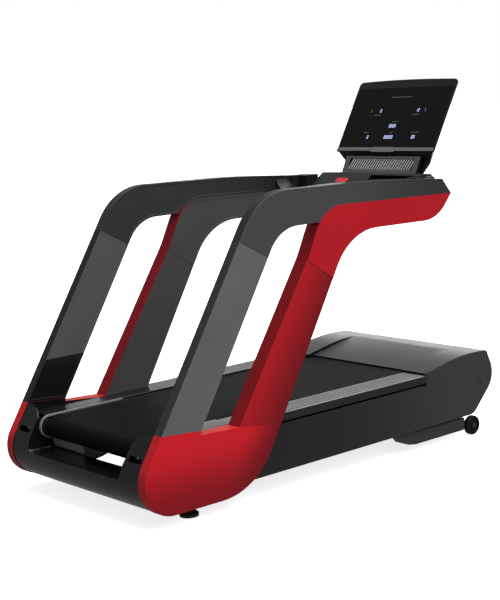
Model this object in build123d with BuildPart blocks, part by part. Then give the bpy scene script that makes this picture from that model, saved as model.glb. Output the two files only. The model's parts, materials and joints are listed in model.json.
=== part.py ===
from build123d import *
import os
from math import atan2, cos, degrees, hypot, radians, sin

# Motorised treadmill with a flat running deck and two sloping handrail frames.
# Millimetres. +Y is the way the runner faces, +X is the runner's right, +Z is up.
# The origin is on the floor, under the middle of the bounding box.
# Side profiles are drawn as (distance from the rear end, height).

# ---- Driving dimensions ----
LENGTH = 1893.9          # rear end to the console's furthest point
HALF_WIDTH = 460         # to the outer face of the handrail frames
REAR = -LENGTH / 2 - 3.3  # y that distances are measured from, just behind the base shells
WALL = 4                 # moulded shell wall
SEAM = 0.4               # visible gap between two mouldings
SIDES = {"left": -1, "right": 1}

# Handrail frames
THIN_INNER = 416         # inner face of the rear legs and the arms' rear half
THICK_INNER = 395        # inner face of the front legs and the arms' front half
LEG_REAR_FOOT = (88, 343)
LEG_FRONT_FOOT = (265, 330)
ARM_BEND = (595, 1147)
NOSE = (1626, 1049)
BASE_STEP = (440, 307)
BASE_TOE = (640, 277)
REAR_SEAM = ((490, 980), (623, 907))
FRONT_SEAM = ((812, 874), (947, 783))
TUBE_INNER = 425         # steel tube inside the shells
TUBE_THICK = 20
TUBE_DEEP = 40

# Running gear
BELT_WIDTH = 560
BELT_THICK = 2
DECK_TOP = 300
DECK_THICK = 25
ROLLER_R = 37.5
FIT_GAP = 0.3            # between a turning roller or pulley and its fixed belt
REAR_ROLLER_Y = 110
FRONT_ROLLER_Y = 1530
ROLLER_Z = DECK_TOP - ROLLER_R - FIT_GAP
ROLLER_HALF = 285
AXLE_R = 10
BEARING_R = 21
RUNNING_CLEARANCE = 0.05

# Steel frame
RAIL_X = 340             # inner face of each frame rail
RAIL_WIDE = 40
RAIL_BOTTOM = 130
RAIL_TOP = 250
RAIL_REAR = 70
RAIL_FRONT = 1765
TUBE = 40

# Foot rails and the hood
FOOT_INNER = 306
FOOT_OUTER = 430
FOOT_TOP = 308
FOOT_THICK = 7
FOOT_REAR = 664
FLANGE = 31
RIBS = 9                  # grooves along each foot rail
RIB_PITCH = 12
RIB_GAP = 5
RIB_DEEP = 3
HOOD_REAR = 1470
HOOD_EDGE = 316          # top of the hood's rear edge
PANEL_INNER = 423
PANEL_THICK = 5
PANEL_TOP = 268          # a shadow gap below the foot rail's flange
SHOULDER_X = 283         # inner face of the hood's two raised shoulders

# Drive
PULLEY_R = 34
MOTOR_PULLEY_R = 17
MOTOR_Y = 1690
MOTOR_Z = 195
MOTOR_R = 60
DRIVE_BELT_X = 289
DRIVE_BELT_WIDE = 14

# Lift
PIVOT = (1300, 104)
LEVER = 90
INCLINE = 26             # degrees of lift travel
WHEEL = (1757, 41)
WHEEL_R = 41
ARM_INNER = 396
ARM_THICK = 24

# Console
DISPLAY_FOOT = (1717, 1218)
DISPLAY_TILT = 30.3      # back from upright
DISPLAY_HALF = 292
DISPLAY_TALL = 339
DISPLAY_THICK = 34
GLASS_CENTRE = (0, 153)
GLASS_WIDE = 569
GLASS_TALL = 291
BEZEL_WIDE = 582
BEZEL_TALL = 16
CHIN_FRONT = 32
CHIN_BACK = 46
TRAY_HALF = 300
BRIDGE_FLAT = 302
NECK_HALF = 150
BOX_CENTRE = (149, 100)   # accessory tray, on the console's sloping face
BOX_LONG = 268
BOX_WIDE = 58
STOP_CENTRE = (-129, 84)
STOP_LONG = 67
STOP_WIDE = 30
STOP_PROUD = 8
STOP_BELOW = 12
TRAY_REAR = (1510, 1040.1)
TRAY_RIDGE = (1626, 1121.5)
DECK_REAR = (1714, 1115)  # where the tray's top starts to fall
GRILLE_FOOT = (1671, 1118.6)
GRILLE_HEAD = (1706, 1188)
GRILLE_DEEP = 14
GRILLE_WIDE = 446

FOOT_X = 366             # levelling feet, under the frame rails
FOOT_Y = 257
FOOT_R = 36
STUD_R = 6


# ---- Planes ----
def side_plane(x):
    """A plane facing +X, with local axes (distance from the rear, height)."""
    return Plane(origin=(x, REAR, 0), x_dir=(0, 1, 0), z_dir=(1, 0, 0))


def rear_plane(y):
    """A plane facing the rear, with local axes (x, height)."""
    return Plane(origin=(0, REAR + y, 0), x_dir=(1, 0, 0), z_dir=(0, -1, 0))


def plan_plane(z):
    """A plane facing up, with local axes (x, distance from the rear)."""
    return Plane(origin=(0, REAR, z))


def sloping_plane(foot, head, x=0):
    """A plane through two side-profile points, facing up and to the rear."""
    run = head[0] - foot[0]
    rise = head[1] - foot[1]
    length = hypot(run, rise)
    return Plane(origin=(x, REAR + foot[0], foot[1]), x_dir=(1, 0, 0), z_dir=(0, -rise / length, run / length))


TILT = radians(DISPLAY_TILT)
DISPLAY_HEAD = (DISPLAY_FOOT[0] + DISPLAY_TALL * sin(TILT), DISPLAY_FOOT[1] + DISPLAY_TALL * cos(TILT))
DISPLAY = sloping_plane(DISPLAY_FOOT, DISPLAY_HEAD)
GRILLE = sloping_plane(GRILLE_FOOT, GRILLE_HEAD)
TRAY = sloping_plane(TRAY_REAR, TRAY_RIDGE)

# The incline lever at rest, and its screw
LEVER_MID = (PIVOT[0], PIVOT[1] + LEVER)
HALF_TURN = radians(INCLINE / 2)
LEVER_REST = (PIVOT[0] - LEVER * sin(HALF_TURN), PIVOT[1] + LEVER * cos(HALF_TURN))
SCREW_Z = (LEVER_MID[1] + LEVER_REST[1]) / 2
SCREW_R = 8

# The nose's underside slope, with the mains inlet, the switch and the cover screws
NOSE_SLOPE = Plane(origin=(0, REAR + 1800, 130.7), x_dir=(1, 0, 0), z_dir=(0, 0.7046, -0.7095))
INLET_X = -330
INLET_LONG = 100
INLET_HIGH = 34
SOCKET_X = -354
ROCKER_X = -303
ROCKER_REST = -8
SCREW_XS = (-200, 0, 200, 380)


def display_point(up, out):
    """Side-profile point at a distance up the display and out of its face."""
    y = DISPLAY_FOOT[0] + up * sin(TILT) - out * cos(TILT)
    return (y, DISPLAY_FOOT[1] + up * cos(TILT) + out * sin(TILT))


def save(piece, node):
    """Name a finished piece and write its STEP file."""
    piece.label = node
    export_step(piece, f"parts/{node}.step")


# ---- Outlines ----
def rounded_outline(corners):
    """A closed outline through (y, z, radius) corners; radius 0 keeps one sharp."""
    with BuildSketch() as outline:
        with BuildLine():
            Polyline(*[(y, z) for y, z, radius in corners], close=True)
        make_face()
        for y, z, radius in corners:
            if radius > 0:
                fillet(outline.vertices().sort_by_distance((y, z))[0], radius=radius)
    return outline.sketch


def front_outline():
    """The red front leg and the underside of the arm, in one."""
    return rounded_outline([
        (*BASE_STEP, 0), (822, 885, 200), (912, 1065, 150), (*NOSE, 0),
        (1537, 950, 167), (1043, 957, 250), (*BASE_TOE, 0),
    ])


def arm_outline():
    """The rear leg and the top of the arm, in one, above the front outline."""
    band = rounded_outline([
        (*LEG_REAR_FOOT, 0), (*ARM_BEND, 250), (1180, 1139, 4000), (1576, 1111, 12), (*NOSE, 0),
        (1100, 1000, 0), (950, 1007, 0), (685, 1007, 160), (*LEG_FRONT_FOOT, 0),
    ])
    return band - front_outline()


def base_outline():
    """The rounded foot that joins the two legs."""
    return rounded_outline([
        (*LEG_REAR_FOOT, 0), (-96, 51, 122), (506, 52, 285), (*BASE_TOE, 0),
        (*BASE_STEP, 0), (262, 316, 0), (*LEG_FRONT_FOOT, 0),
    ])


def hood_outline():
    """The side of the motor hood, down to the belly."""
    return rounded_outline([
        (HOOD_REAR, HOOD_EDGE, 0), (1700, 360, 900), (1852, 352, 8), (1905, 235, 100), (1759, 90, 60),
        (HOOD_REAR, 88, 0),
    ])


def tube_outline(grow=0):
    """The bent steel tube inside one handrail frame, seen from the side."""
    width = TUBE_DEEP + 2 * grow
    with BuildSketch() as outline:
        with BuildLine():
            FilletPolyline((440, 110), (160, 110), (180, 343), (620, 1045), (760, 1098), (1540, 1082), radius=60)
        trace(line_width=width)
        with BuildLine():
            Polyline((425, 110), (546, 307), (904, 874), (1040, 1090))
        trace(line_width=width)
    return outline.sketch


def seam_plane(seam, shift=0):
    """The plane of a seam across a leg, facing up the leg."""
    run = seam[1][0] - seam[0][0]
    rise = seam[1][1] - seam[0][1]
    length = hypot(run, rise)
    normal = (0, -rise / length, run / length)
    return Plane(origin=(0, REAR + seam[0][0], seam[0][1]), x_dir=(1, 0, 0), z_dir=normal).offset(shift)


# ---- Handrail frames ----
def shell(outline, side, inner):
    """A moulding open towards the belt, with holes where the steel tube passes."""
    cavity = offset(outline, amount=-WALL)
    passage = tube_outline(grow=1)
    depth = HALF_WIDTH - inner
    with BuildPart() as piece:
        with BuildSketch(side_plane(side * inner)):
            add(outline)
        extrude(amount=side * depth)
        with BuildSketch(side_plane(side * inner)):
            add(cavity)
        extrude(amount=side * (depth - WALL), mode=Mode.SUBTRACT)
        with BuildSketch(side_plane(side * (TUBE_INNER - 1))):
            add(passage)
        extrude(amount=side * (TUBE_THICK + 2), mode=Mode.SUBTRACT)
    return piece.part


def inboard_step(side, start, end):
    """What is cut off inboard of a wall that steps from thin to thick between two distances."""
    far = 3000
    with BuildPart() as step:
        with BuildSketch(plan_plane(-10)):
            with BuildLine():
                Polyline((side * 300, -100), (side * THIN_INNER, -100), (side * THIN_INNER, start),
                         (side * THICK_INNER, end), (side * THICK_INNER, far), (side * 300, far), close=True)
            make_face()
        extrude(amount=1300)
    return step.part


def base_shell(side):
    whole = shell(base_outline(), side, THICK_INNER)
    step = inboard_step(side, 280, 400)
    with BuildPart() as piece:
        add(whole)
        add(step, mode=Mode.SUBTRACT)
    return piece.part


def arm_pieces(side):
    """The rear leg and the arm cover, split at the rear seam."""
    whole = shell(arm_outline(), side, THICK_INNER) - inboard_step(side, 850, 960)
    with BuildPart() as leg:
        add(whole)
        split(bisect_by=seam_plane(REAR_SEAM, -SEAM / 2), keep=Keep.BOTTOM)
    with BuildPart() as arm:
        add(whole)
        split(bisect_by=seam_plane(REAR_SEAM, SEAM / 2), keep=Keep.TOP)
    return leg.part, arm.part


def front_pieces(side):
    """The front leg and the arm's underside, split at the front seam."""
    whole = shell(front_outline(), side, THICK_INNER)
    with BuildPart() as leg:
        add(whole)
        split(bisect_by=seam_plane(FRONT_SEAM, -SEAM / 2), keep=Keep.BOTTOM)
    with BuildPart() as skirt:
        add(whole)
        split(bisect_by=seam_plane(FRONT_SEAM, SEAM / 2), keep=Keep.TOP)
    return leg.part, skirt.part


def arm_liner(side):
    """The inner panel of the rear leg and arm, stepping inboard with the arm."""
    inside = offset(arm_outline(), amount=-WALL - SEAM)
    thick = 3
    with BuildPart() as piece:
        with BuildSketch(plan_plane(300)):
            with BuildLine():
                Polyline((side * THIN_INNER, 0), (side * THIN_INNER, 850), (side * THICK_INNER, 960),
                         (side * THICK_INNER, 1700), (side * (THICK_INNER + thick), 1700),
                         (side * (THICK_INNER + thick), 960), (side * (THIN_INNER + thick), 850),
                         (side * (THIN_INNER + thick), 0), close=True)
            make_face()
        extrude(amount=900)
        with BuildSketch(side_plane(side * (THICK_INNER - 5))):
            add(inside)
        extrude(amount=side * 40, mode=Mode.INTERSECT)
    return piece.part


def leg_liner(side):
    """The inner panel of the front leg and the arm's underside."""
    inside = offset(front_outline(), amount=-WALL - SEAM)
    with BuildPart() as piece:
        with BuildSketch(side_plane(side * THICK_INNER)):
            add(inside)
        extrude(amount=side * 3)
    return piece.part


def handrail_frames():
    tube = tube_outline()
    with BuildPart() as piece:
        for side in SIDES.values():
            with BuildSketch(side_plane(side * TUBE_INNER)):
                add(tube)
            extrude(amount=side * TUBE_THICK)
    return piece.part


def levelling_foot(side):
    with BuildPart() as piece:
        with BuildSketch(plan_plane(0)):
            with Locations((side * FOOT_X, FOOT_Y)):
                Circle(FOOT_R)
        extrude(amount=12)
        with BuildSketch(plan_plane(12)):
            with Locations((side * FOOT_X, FOOT_Y)):
                Circle(FOOT_R - 2)
        extrude(amount=16, taper=50)
        with BuildSketch(plan_plane(12)):
            with Locations((side * FOOT_X, FOOT_Y)):
                Circle(STUD_R)
        extrude(amount=140)
        with BuildSketch(plan_plane(52)):
            with Locations((side * FOOT_X, FOOT_Y)):
                RegularPolygon(11, 6)
        extrude(amount=8)
    return piece.part


# ---- Steel frame ----
def frame_rails():
    """Two box tubes with roller blocks on top and pivot lugs below."""
    with BuildPart() as piece:
        for side in SIDES.values():
            middle = side * (RAIL_X + RAIL_WIDE / 2)
            with BuildSketch(rear_plane(RAIL_REAR)):
                with Locations((middle, (RAIL_TOP + RAIL_BOTTOM) / 2)):
                    Rectangle(RAIL_WIDE, RAIL_TOP - RAIL_BOTTOM)
                    Rectangle(RAIL_WIDE - 6, RAIL_TOP - RAIL_BOTTOM - 6, mode=Mode.SUBTRACT)
            extrude(amount=RAIL_REAR - RAIL_FRONT)
            with BuildSketch(plan_plane(RAIL_TOP)):
                with Locations((middle, REAR_ROLLER_Y), (middle, FRONT_ROLLER_Y)):
                    Rectangle(30, 44)
            extrude(amount=34)
            with BuildSketch(side_plane(middle - 15)):
                with Locations(PIVOT):
                    Circle(30)
                with Locations((PIVOT[0], PIVOT[1] + 14)):
                    Rectangle(60, 24)
            extrude(amount=30)
            with BuildSketch(side_plane(middle - 20)):
                with Locations((REAR_ROLLER_Y, ROLLER_Z), (FRONT_ROLLER_Y, ROLLER_Z)):
                    Circle(AXLE_R + RUNNING_CLEARANCE)
                with Locations(PIVOT):
                    Circle(23)
            extrude(amount=40, mode=Mode.SUBTRACT)
            with BuildSketch(plan_plane(RAIL_BOTTOM - 12)):
                with Locations((middle, FOOT_Y)):
                    Rectangle(36, 32)
            extrude(amount=12)
            with BuildSketch(plan_plane(RAIL_BOTTOM - 12)):
                with Locations((side * FOOT_X, FOOT_Y)):
                    Circle(STUD_R + RUNNING_CLEARANCE)
            extrude(amount=20, mode=Mode.SUBTRACT)
            with BuildSketch(rear_plane(REAR_ROLLER_Y)):
                with Locations((middle, ROLLER_Z)):
                    Circle(5)
            extrude(amount=30, mode=Mode.SUBTRACT)
    return piece.part


def cross_members():
    """Two outriggers that carry the handrail frames, and three tubes between the rails."""
    outrigger_z = RAIL_BOTTOM - TUBE / 2
    between_z = RAIL_BOTTOM + TUBE / 2
    spans = [(200, outrigger_z, TUBE_INNER), (440, outrigger_z, TUBE_INNER),
             (760, between_z, RAIL_X), (1130, between_z, RAIL_X), (1580, between_z, RAIL_X)]
    with BuildPart() as piece:
        for y, z, half in spans:
            with BuildSketch(side_plane(-half)):
                with Locations((y, z)):
                    Rectangle(TUBE, TUBE)
                    Rectangle(TUBE - 6, TUBE - 6, mode=Mode.SUBTRACT)
            extrude(amount=2 * half)
    return piece.part


def motor_tray():
    """Folded steel tray under the motor bay."""
    rear, front, fold = 1604, 1775, 20
    with BuildPart() as piece:
        with BuildSketch(side_plane(-380)):
            with BuildLine():
                Polyline((rear, RAIL_BOTTOM), (rear, RAIL_BOTTOM - fold), (rear + 3, RAIL_BOTTOM - fold),
                         (rear + 3, RAIL_BOTTOM - 3), (front, RAIL_BOTTOM - 3), (front, RAIL_BOTTOM), close=True)
            make_face()
        extrude(amount=760)
        with BuildSketch(plan_plane(RAIL_BOTTOM)):
            with Locations((-260, 1690)):
                with GridLocations(24, 0, 5, 1):
                    SlotOverall(80, 8, rotation=90)
        extrude(amount=-3, mode=Mode.SUBTRACT)
    return piece.part


# ---- Running gear ----
def belt_loop(width, radius, first, second, thick):
    """A closed belt of one radius round two equal rollers."""
    span = second[0] - first[0]
    middle = ((first[0] + second[0]) / 2, first[1])
    with BuildPart() as piece:
        with BuildSketch(side_plane(-width / 2)):
            with Locations(middle):
                SlotCenterToCenter(span, 2 * (radius + thick))
                SlotCenterToCenter(span, 2 * radius, mode=Mode.SUBTRACT)
        extrude(amount=width)
    return piece.part


def deck_board():
    with BuildPart() as piece:
        with BuildSketch(plan_plane(DECK_TOP)):
            with Locations((0, 820)):
                RectangleRounded(730, 1310, 10)
        extrude(amount=-DECK_THICK)
    return piece.part


def deck_cushions():
    """Eight rubber mounts between the frame rails and the deck."""
    with BuildPart() as piece:
        with BuildSketch(plan_plane(RAIL_TOP)):
            with Locations((0, 820)):
                with GridLocations(706, 370, 2, 4):
                    Circle(11)
        extrude(amount=DECK_TOP - DECK_THICK - RAIL_TOP)
    return piece.part


def roller(y, with_pulley):
    """A steel roller tube; the front one carries the ribbed drive pulley."""
    with BuildPart() as piece:
        with BuildSketch(side_plane(-ROLLER_HALF)):
            with Locations((y, ROLLER_Z)):
                Circle(ROLLER_R)
        extrude(amount=2 * ROLLER_HALF)
        if with_pulley:
            with BuildSketch(side_plane(ROLLER_HALF)):
                with Locations((y, ROLLER_Z)):
                    Circle(PULLEY_R)
            extrude(amount=20)
            for rib in range(5):
                with BuildSketch(side_plane(DRIVE_BELT_X + 1.2 + 2.6 * rib)):
                    with Locations((y, ROLLER_Z)):
                        Circle(PULLEY_R)
                        Circle(PULLEY_R - 1.5, mode=Mode.SUBTRACT)
                extrude(amount=1.2, mode=Mode.SUBTRACT)
        with BuildSketch(side_plane(-ROLLER_HALF)):
            with Locations((y, ROLLER_Z)):
                Circle(BEARING_R)
        extrude(amount=2 * ROLLER_HALF + 20, mode=Mode.SUBTRACT)
        with BuildSketch(side_plane(-ROLLER_HALF + 30)):
            with Locations((y, ROLLER_Z)):
                Circle(ROLLER_R - 4)
        extrude(amount=2 * ROLLER_HALF - 60, mode=Mode.SUBTRACT)
    return piece.part


def roller_axles():
    with BuildPart() as piece:
        with BuildSketch(side_plane(-378)):
            with Locations((REAR_ROLLER_Y, ROLLER_Z), (FRONT_ROLLER_Y, ROLLER_Z)):
                Circle(AXLE_R)
        extrude(amount=756)
    return piece.part


def roller_bearings():
    """Four ball bearings, drawn as plain rings pressed on the axles."""
    with BuildPart() as piece:
        for x in (-ROLLER_HALF + 2, ROLLER_HALF - 14):
            with BuildSketch(side_plane(x)):
                with Locations((REAR_ROLLER_Y, ROLLER_Z), (FRONT_ROLLER_Y, ROLLER_Z)):
                    Circle(BEARING_R - RUNNING_CLEARANCE)
                    Circle(AXLE_R, mode=Mode.SUBTRACT)
            extrude(amount=12)
    return piece.part


def tension_bolts():
    """Two bolts behind the rear cover's slots that pull the rear roller back."""
    axle_face = REAR_ROLLER_Y - AXLE_R - 1
    with BuildPart() as piece:
        for side in SIDES.values():
            x = side * (RAIL_X + RAIL_WIDE / 2)
            with BuildSketch(rear_plane(52)):
                with Locations((x, ROLLER_Z)):
                    RegularPolygon(9, 6)
            extrude(amount=-7)
            with BuildSketch(rear_plane(59)):
                with Locations((x, ROLLER_Z)):
                    Circle(4.9)
            extrude(amount=59 - axle_face)
    return piece.part


# ---- Drive ----
def drive_motor():
    """Motor can with end caps, cooling slots and mounting feet."""
    start, length = -60, 240
    with BuildPart() as piece:
        with BuildSketch(side_plane(start)):
            with Locations((MOTOR_Y, MOTOR_Z)):
                Circle(MOTOR_R)
        extrude(amount=length)
        with BuildSketch(plan_plane(RAIL_BOTTOM)):
            with Locations((start + length / 2, MOTOR_Y)):
                Rectangle(150, 100)
        extrude(amount=MOTOR_Z - MOTOR_R - RAIL_BOTTOM + 20)
        for x in (start + 22, start + length - 26):
            with BuildSketch(side_plane(x)):
                with Locations((MOTOR_Y, MOTOR_Z)):
                    Circle(MOTOR_R + 1)
                    Circle(MOTOR_R - 3, mode=Mode.SUBTRACT)
            extrude(amount=4, mode=Mode.SUBTRACT)
        with BuildSketch(side_plane(start)):
            with Locations((MOTOR_Y, MOTOR_Z)):
                Circle(9 + RUNNING_CLEARANCE)
        extrude(amount=length, mode=Mode.SUBTRACT)
    return piece.part


def motor_rotor():
    """Shaft, flywheel and drive pulley that turn together."""
    with BuildPart() as piece:
        with BuildSketch(side_plane(-102)):
            with Locations((MOTOR_Y, MOTOR_Z)):
                Circle(9)
        extrude(amount=407)
        with BuildSketch(side_plane(-98)):
            with Locations((MOTOR_Y, MOTOR_Z)):
                Circle(55)
            with Locations((MOTOR_Y, MOTOR_Z)):
                with PolarLocations(34, 6):
                    Circle(8, mode=Mode.SUBTRACT)
        extrude(amount=28)
        with BuildSketch(side_plane(DRIVE_BELT_X - 3)):
            with Locations((MOTOR_Y, MOTOR_Z)):
                Circle(MOTOR_PULLEY_R)
        extrude(amount=DRIVE_BELT_WIDE + 5)
    return piece.part


def drive_belt():
    """Ribbed belt from the motor pulley to the front roller."""
    with BuildPart() as piece:
        with BuildSketch(side_plane(DRIVE_BELT_X)) as loop:
            with Locations((FRONT_ROLLER_Y, ROLLER_Z)):
                Circle(PULLEY_R + FIT_GAP + 2.5)
            with Locations((MOTOR_Y, MOTOR_Z)):
                Circle(MOTOR_PULLEY_R + FIT_GAP + 2.5)
            make_hull()
        extrude(amount=DRIVE_BELT_WIDE)
        with BuildSketch(side_plane(DRIVE_BELT_X)):
            with Locations((FRONT_ROLLER_Y, ROLLER_Z)):
                Circle(PULLEY_R + FIT_GAP)
            with Locations((MOTOR_Y, MOTOR_Z)):
                Circle(MOTOR_PULLEY_R + FIT_GAP)
            make_hull()
        extrude(amount=DRIVE_BELT_WIDE, mode=Mode.SUBTRACT)
    return piece.part


def control_unit():
    """Inverter box with a finned heat sink."""
    with BuildPart() as piece:
        with BuildSketch(plan_plane(RAIL_BOTTOM)):
            with Locations((-220, 1690)):
                RectangleRounded(160, 140, 6)
        extrude(amount=60)
        with BuildSketch(plan_plane(RAIL_BOTTOM + 60)):
            with Locations((-220, 1690)):
                with GridLocations(14, 0, 10, 1):
                    Rectangle(4, 130)
        extrude(amount=28)
    return piece.part


# ---- Lift ----


def lift_frame():
    """Welded swing frame: pivot tube, two arms, a front tube, a lever and the wheel axles."""
    with BuildPart() as piece:
        with BuildSketch(side_plane(-ARM_INNER)):
            with Locations(PIVOT):
                Circle(19)
            with Locations((1655, 57)):
                Rectangle(30, 36)
        extrude(amount=2 * ARM_INNER)
        for side in SIDES.values():
            with BuildSketch(side_plane(side * ARM_INNER)):
                with Locations(PIVOT):
                    Circle(24)
                with BuildLine():
                    Polyline((1278, 92), (1308, 58), (1360, 38), (1400, 31), (1700, 31), (1706, 40), (1706, 83),
                             (1400, 83), (1372, 88), (1318, 118), close=True)
                make_face()
            extrude(amount=side * ARM_THICK)
            with BuildSketch(side_plane(side * ARM_INNER)):
                with BuildLine():
                    Polyline((1690, 31), (1757, 27), (1771, 41), (1757, 55), (1690, 75), close=True)
                make_face()
            extrude(amount=side * 6)
            with BuildSketch(side_plane(side * (ARM_INNER + 4))):
                with Locations(WHEEL):
                    Circle(6)
            extrude(amount=side * 29)
            with BuildSketch(side_plane(side * (ARM_INNER + 31))):
                with Locations(WHEEL):
                    Circle(10)
            extrude(amount=side * 3)
            with BuildSketch(side_plane(side * 10)):
                with Locations(LEVER_REST):
                    Circle(13)
                with BuildLine():
                    Polyline((LEVER_REST[0] - 13, LEVER_REST[1]), (LEVER_REST[0] + 13, LEVER_REST[1]),
                             (PIVOT[0] + 17, PIVOT[1]), (PIVOT[0] - 17, PIVOT[1]), close=True)
                make_face()
            extrude(amount=side * 8)
        with BuildSketch(side_plane(-14)):
            with Locations(LEVER_REST):
                Circle(6)
        extrude(amount=28)
    return piece.part


def pivot_bushes():
    with BuildPart() as piece:
        for side in SIDES.values():
            with BuildSketch(side_plane(side * (RAIL_X + RAIL_WIDE / 2) - 16)):
                with Locations(PIVOT):
                    Circle(23)
                    Circle(19 + RUNNING_CLEARANCE, mode=Mode.SUBTRACT)
            extrude(amount=32)
    return piece.part


def incline_screw():
    """Lift screw with the eye that takes the lever's pin, oversize by the lever's small arc."""
    with BuildPart() as piece:
        with BuildSketch(side_plane(-8)):
            with Locations((LEVER_REST[0], SCREW_Z)):
                Circle(15)
        extrude(amount=16)
        with BuildSketch(rear_plane(LEVER_REST[0] + 10)):
            with Locations((0, SCREW_Z)):
                Circle(SCREW_R)
        extrude(amount=-210)
        with BuildSketch(side_plane(-8)):
            with Locations((LEVER_REST[0], SCREW_Z)):
                Circle(7.7)
        extrude(amount=16, mode=Mode.SUBTRACT)
    return piece.part


def incline_motor():
    """Gearbox, motor can below and guide tube above."""
    rear, front = 1372, 1560
    with BuildPart() as piece:
        with BuildSketch(rear_plane(rear)):
            with Locations((0, 161)):
                RectangleRounded(64, 106, 8)
        extrude(amount=-40)
        with BuildSketch(rear_plane(rear + 40)):
            with Locations((0, 140)):
                Circle(30)
            with Locations((0, SCREW_Z)):
                Circle(15)
        extrude(amount=rear + 40 - front)
        with BuildSketch(rear_plane(rear)):
            with Locations((0, SCREW_Z)):
                Circle(SCREW_R + 0.08)
        extrude(amount=rear - front, mode=Mode.SUBTRACT)
    return piece.part


def transport_wheel(side):
    with BuildPart() as piece:
        with BuildSketch(side_plane(side * (ARM_INNER + 8))):
            with Locations(WHEEL):
                Circle(WHEEL_R)
        extrude(amount=side * 22)
        fillet(piece.edges().filter_by(GeomType.CIRCLE), radius=4)
        with BuildSketch(side_plane(side * (ARM_INNER + 26))):
            with Locations(WHEEL):
                Circle(30)
                Circle(14, mode=Mode.SUBTRACT)
        extrude(amount=side * 4, mode=Mode.SUBTRACT)
        with BuildSketch(side_plane(side * (ARM_INNER + 8))):
            with Locations(WHEEL):
                Circle(6 + RUNNING_CLEARANCE)
        extrude(amount=side * 22, mode=Mode.SUBTRACT)
    return piece.part


# ---- Foot rails, panels and covers ----
def foot_rail(side):
    """Ribbed extrusion with an outer flange and a web that stands on the frame rail."""
    with BuildPart() as piece:
        with BuildSketch(rear_plane(FOOT_REAR)):
            with Locations((side * (FOOT_INNER + FOOT_OUTER) / 2, FOOT_TOP - FOOT_THICK / 2)):
                Rectangle(FOOT_OUTER - FOOT_INNER, FOOT_THICK)
            with Locations((side * (FOOT_OUTER - 6), FOOT_TOP - FLANGE / 2)):
                Rectangle(12, FLANGE)
            with Locations((side * 373, (RAIL_TOP + FOOT_TOP) / 2)):
                Rectangle(12, FOOT_TOP - RAIL_TOP)
            with Locations((side * 366, FOOT_TOP)):
                with GridLocations(RIB_PITCH, 0, RIBS, 1):
                    Rectangle(RIB_GAP, 2 * RIB_DEEP, mode=Mode.SUBTRACT)
        extrude(amount=FOOT_REAR - HOOD_REAR + 5)
    return piece.part


def rail_end(side):
    """Smooth moulding that carries the rail on between the legs to the rear cover."""
    with BuildPart() as piece:
        with BuildSketch(plan_plane(FOOT_TOP - FOOT_THICK)):
            with BuildLine():
                Polyline((side * FOOT_INNER, 100), (side * 413, 100), (side * 413, 280), (side * 392, 400),
                         (side * 392, FOOT_REAR - SEAM), (side * FOOT_INNER, FOOT_REAR - SEAM), close=True)
            make_face()
        extrude(amount=FOOT_THICK)
        with BuildSketch(plan_plane(RAIL_TOP)):
            with Locations((side * 373, 400)):
                Rectangle(12, 500)
        extrude(amount=FOOT_TOP - FOOT_THICK - RAIL_TOP)
        top_edges = piece.faces().sort_by(Axis.Z)[-1].edges().filter_by(Axis.Y)
        fillet(top_edges.sort_by(Axis.X)[-1 if side < 0 else 0], radius=4)
    return piece.part


def side_panel(side):
    """Flank of the deck and hood in one moulding, with the bumper's crease cut in."""
    flank = rounded_outline([
        (440, 84, 0), (1759, 91, 60), (1905, 235, 100), (1852, 352, 8), (1700, 360, 900),
        (HOOD_REAR, HOOD_EDGE, 0), (HOOD_REAR, PANEL_TOP - 10, 0), (HOOD_REAR - 8, PANEL_TOP - 10, 0),
        (HOOD_REAR - 8, PANEL_TOP, 0), (440, PANEL_TOP, 0),
    ])
    clear_of_legs = offset(base_outline() + front_outline(), amount=1)
    flank = flank - clear_of_legs
    with BuildPart() as piece:
        with BuildSketch(side_plane(side * PANEL_INNER)):
            add(flank)
        extrude(amount=side * PANEL_THICK)
        with BuildSketch(side_plane(side * (PANEL_INNER + PANEL_THICK - 2))):
            with BuildLine():
                Spline((1782, 247), (1808, 222), (1798, 169), (1754, 117), (1708, 91))
            trace(line_width=4)
        extrude(amount=side * 4, mode=Mode.SUBTRACT)
        with BuildSketch(plan_plane(PANEL_TOP - 9)):
            with Locations((side * 402, 1080)):
                Rectangle(42, 740)
        extrude(amount=4)
    return piece.part


def hood_skin():
    """Outline of the hood's skin, one wall thick."""
    return hood_outline() - offset(hood_outline(), amount=-WALL)


def motor_hood():
    """Top of the motor bay: two raised shoulders and a middle that drops to the belt."""
    half = PANEL_INNER - 0.5
    recess_front = 1752
    skin = hood_skin()
    with BuildPart() as piece:
        with BuildSketch(side_plane(-half)):
            add(skin)
            with Locations((1660, 330)):
                Rectangle(376, 70, mode=Mode.INTERSECT)
            with Locations((HOOD_REAR, 296)):
                Rectangle(2 * WALL + 1, 30, mode=Mode.SUBTRACT)
        extrude(amount=2 * half)
        with BuildSketch(plan_plane(250)):
            with Locations((0, 1600)):
                Rectangle(2 * SHOULDER_X, 2 * (recess_front - 1600))
        extrude(amount=150, mode=Mode.SUBTRACT)
        with BuildSketch(side_plane(-SHOULDER_X)):
            with BuildLine():
                Polyline((1500, 305), (recess_front + 2, 350.5), (recess_front + 2, 355), (recess_front - 4, 355),
                         (1500, 309.5), close=True)
            make_face()
        extrude(amount=2 * SHOULDER_X)
        for side in SIDES.values():
            with BuildSketch(side_plane(side * SHOULDER_X)):
                with BuildLine():
                    Polyline((1476, 305), (1500, 305), (recess_front, 350.5), (1690, 350), (1560, 330),
                             (1476, 314), close=True)
                make_face()
            extrude(amount=side * 3)
    return piece.part


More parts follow.
